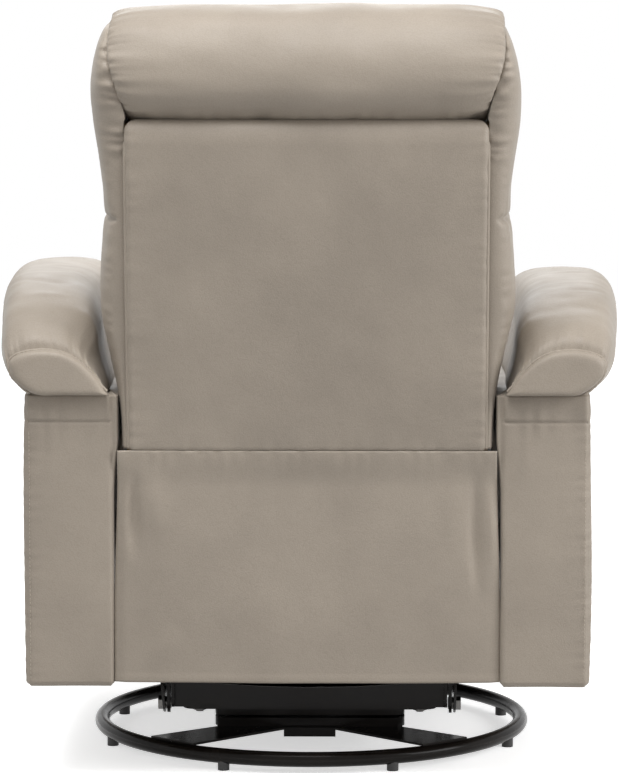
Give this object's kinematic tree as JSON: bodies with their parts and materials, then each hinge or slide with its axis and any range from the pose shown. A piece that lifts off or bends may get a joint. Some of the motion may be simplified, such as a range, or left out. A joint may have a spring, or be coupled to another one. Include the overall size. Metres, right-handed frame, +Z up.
{
  "type": "swivel glider recliner",
  "caption": "Upholstered recliner with pillow arms that swivels on a ball bearing over a floor ring, glides on hanging links, leans back and folds out a footrest.",
  "frame": {"origin": "on the floor, on the swivel axis", "axes": "+Z up, the chair faces -Y, +X is the sitter's left"},
  "size_m": [0.823, 0.874, 0.9792],
  "materials": {
    "black_metal": "gloss black paint",
    "zinc": "zinc plated",
    "steel": "bare pressed steel",
    "ball_steel": "polished",
    "black_plastic": "matt",
    "bumper_rubber": "matt",
    "leatherette": "soft grain faux leather",
    "wood": "sawn and sealed",
    "webbing": "woven"
  },
  "bodies": {
    "base": {"base_ring": "black_metal", "cross_arms": "black_metal", "floor_glides": "black_plastic", "swivel_lower_plate": "black_metal", "swivel_pivot": "zinc"},
    "ball_cage": {"ball_cage": "black_plastic", "bearing_balls": "ball_steel"},
    "swivel_frame": {"swivel_upper_plate": "black_metal", "swivel_frame_plate": "black_metal", "glider_channels": "black_metal", "glider_bracket_left": "black_metal", "glider_bracket_right": "black_metal", "frame_bolts": "zinc", "upper_pivot_bolts": "zinc", "glide_bumpers": "bumper_rubber"},
    "rear_glide_links": {"rear_glide_links": "black_metal"},
    "front_glide_links": {"front_glide_links": "black_metal"},
    "chassis": {"lower_pivot_bolts": "zinc", "glide_rail_left": "black_metal", "glide_rail_right": "black_metal", "cross_tubes": "black_metal", "rear_stretcher": "wood", "arm_frame_left": "wood", "arm_frame_right": "wood", "arm_cover_left": "leatherette", "arm_cover_right": "leatherette", "arm_pad_left": "leatherette", "arm_pad_right": "leatherette", "rear_flap": "leatherette"},
    "release_tab": {"release_tab": "black_plastic"},
    "rear_seat_links": {"rear_seat_links": "steel"},
    "front_seat_links": {"front_seat_links": "steel"},
    "seat": {"seat_plate_left": "steel", "seat_plate_right": "steel", "seat_rails": "wood", "seat_webbing": "webbing", "seat_cushion": "leatherette"},
    "back": {"back_bracket_left": "steel", "back_bracket_right": "steel", "back_stile_left": "wood", "back_stile_right": "wood", "back_top_rail": "wood", "back_bottom_rail": "wood", "back_wing_left": "leatherette", "back_wing_right": "leatherette", "back_top_roll": "leatherette", "head_cushion": "leatherette", "middle_cushion": "leatherette", "lumbar_cushion": "leatherette", "back_insert": "leatherette"},
    "front_ottoman_links": {"front_ottoman_links": "steel"},
    "rear_ottoman_links": {"rear_ottoman_links": "steel"},
    "lower_ottoman_links": {"lower_ottoman_links": "steel"},
    "upper_ottoman_links": {"upper_ottoman_links": "steel"},
    "footrest": {"footrest_brackets": "steel", "footrest_board": "wood", "footrest_cushion": "leatherette"}
  },
  "joints": [
    {"name": "swivel", "type": "hinge", "parent": "base", "child": "swivel_frame", "pos_m": [0, 0, 0.04], "axis": [0, 0, 1], "continuous": true},
    {"name": "ball_cage_turn", "type": "hinge", "parent": "base", "child": "ball_cage", "pos_m": [0, 0, 0.04363], "axis": [0, 0, 1], "continuous": true},
    {"name": "glide", "type": "hinge", "parent": "swivel_frame", "child": "rear_glide_links", "pos_m": [0, 0.15, 0.165], "axis": [-1, 0, 0], "range_deg": [-28, 28]},
    {"name": "front_links_glide", "type": "hinge", "parent": "swivel_frame", "child": "front_glide_links", "pos_m": [0, -0.15, 0.165], "axis": [-1, 0, 0], "range_deg": [-28, 28]},
    {"name": "chassis_level", "type": "hinge", "parent": "rear_glide_links", "child": "chassis", "pos_m": [0, 0.15, 0.066], "axis": [-1, 0, 0], "range_deg": [-28, 28]},
    {"name": "back_recline", "type": "hinge", "parent": "chassis", "child": "back", "pos_m": [0, 0.27, 0.3], "axis": [-1, 0, 0], "range_deg": [0, 35], "deforming": ["rear_flap"]},
    {"name": "rear_seat_links_swing", "type": "hinge", "parent": "chassis", "child": "rear_seat_links", "pos_m": [0, 0.1, 0.185], "axis": [-1, 0, 0], "range_deg": [-50.01, 0]},
    {"name": "front_seat_links_swing", "type": "hinge", "parent": "chassis", "child": "front_seat_links", "pos_m": [0, -0.1, 0.185], "axis": [-1, 0, 0], "range_deg": [-50.01, 0]},
    {"name": "seat_level", "type": "hinge", "parent": "rear_seat_links", "child": "seat", "pos_m": [0, 0.13442, 0.23415], "axis": [-1, 0, 0], "range_deg": [0, 50.01]},
    {"name": "release_pull", "type": "slide", "parent": "chassis", "child": "release_tab", "axis": [0, 0, 1], "range_m": [0, 0.025], "stiffness_N_per_m": 200},
    {"name": "footrest_open", "type": "hinge", "parent": "seat", "child": "front_ottoman_links", "pos_m": [0, -0.322, 0.284], "axis": [-1, 0, 0], "range_deg": [0, 94]},
    {"name": "rear_ottoman_swing", "type": "hinge", "parent": "seat", "child": "rear_ottoman_links", "pos_m": [0, -0.277, 0.337], "axis": [-1, 0, 0], "range_deg": [0, 86.6]},
    {"name": "lower_ottoman_swing", "type": "hinge", "parent": "front_ottoman_links", "child": "lower_ottoman_links", "pos_m": [0, -0.26108, 0.10192], "axis": [-1, 0, 0], "range_deg": [-126.1, 0]},
    {"name": "upper_ottoman_swing", "type": "hinge", "parent": "front_ottoman_links", "child": "upper_ottoman_links", "pos_m": [0, -0.26108, 0.14992], "axis": [-1, 0, 0], "range_deg": [-126.1, 0]},
    {"name": "footrest_tilt", "type": "hinge", "parent": "lower_ottoman_links", "child": "footrest", "pos_m": [0, -0.37851, 0.29736], "axis": [-1, 0, 0], "range_deg": [0, 126.1]}
  ],
  "couplings": [
    {"joint": "ball_cage_turn", "follows": "swivel", "ratio": 0.5},
    {"joint": "front_links_glide", "follows": "glide", "ratio": 1},
    {"joint": "chassis_level", "follows": "glide", "ratio": -1},
    {"joint": "rear_seat_links_swing", "follows": "back_recline", "ratio": -1.4286},
    {"joint": "front_seat_links_swing", "follows": "back_recline", "ratio": -1.4286},
    {"joint": "seat_level", "follows": "back_recline", "ratio": 1.4286},
    {"joint": "rear_ottoman_swing", "follows": "footrest_open", "ratio": 0.92021},
    {"joint": "lower_ottoman_swing", "follows": "footrest_open", "ratio": -1.3404},
    {"joint": "upper_ottoman_swing", "follows": "footrest_open", "ratio": -1.3404},
    {"joint": "footrest_tilt", "follows": "footrest_open", "ratio": 1.3404}
  ]
}
